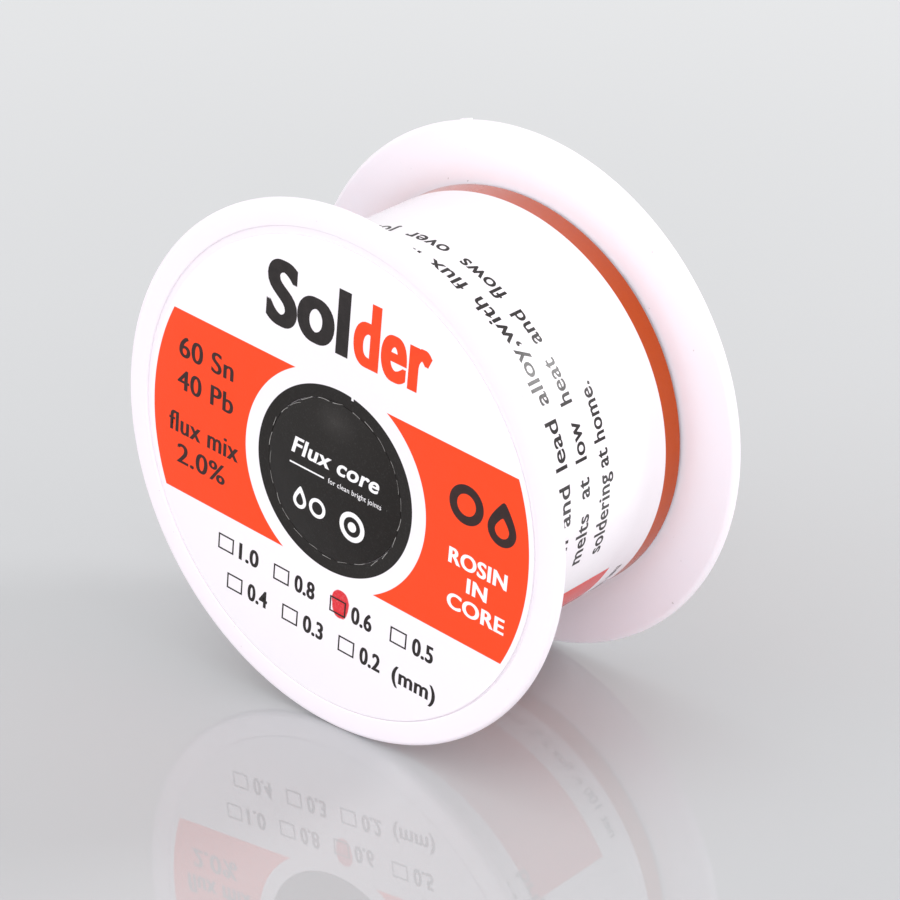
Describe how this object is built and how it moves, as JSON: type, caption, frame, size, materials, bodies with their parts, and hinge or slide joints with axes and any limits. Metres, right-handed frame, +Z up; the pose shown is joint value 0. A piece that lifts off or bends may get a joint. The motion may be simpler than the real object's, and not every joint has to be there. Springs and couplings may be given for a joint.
{
  "type": "solder wire spool",
  "caption": "Small white reel with two round flanges, a labelled front, wound cored wire under a paper wrap, and fold-out label centres over its bore.",
  "frame": {"origin": "centre of the spool: on the bore's axis, midway between the outer faces of the flanges", "axes": "+Y along the bore's axis from the labelled front flange to the rear one, +Z up with the spool standing on its rims, +X to the right seen from the front"},
  "size_m": [0.052, 0.0262, 0.052],
  "materials": {
    "white_plastic": "moulded, semi-gloss",
    "label_paper": "coated paper, printed orange-red and black",
    "label_centre_print": "coated paper, printed black",
    "wrap_paper": "coated paper with an orange stripe at each edge",
    "solder": "bright drawn tin-lead wire",
    "rosin": "amber rosin flux"
  },
  "bodies": {
    "spool": {"front_flange": "white_plastic", "rear_flange": "white_plastic", "hub_barrel": "white_plastic", "solder_winding": "solder", "wire_start_tail": "solder", "wire_start_core": "rosin", "wire_end_tail": "solder", "wire_end_core": "rosin", "wrap_label": "wrap_paper", "front_label": "label_paper", "rear_label": "label_paper"},
    "front_centre": {"front_label_centre": "label_centre_print"},
    "rear_centre": {"rear_label_centre": "label_centre_print"}
  },
  "joints": [
    {"name": "front_centre_fold", "type": "hinge", "parent": "spool", "child": "front_centre", "pos_m": [0, -0.01305, 0.00766], "axis": [-1, 0, 0], "range_deg": [0, 150]},
    {"name": "rear_centre_fold", "type": "hinge", "parent": "spool", "child": "rear_centre", "pos_m": [0, 0.01305, 0.00766], "axis": [1, 0, 0], "range_deg": [0, 150]}
  ]
}
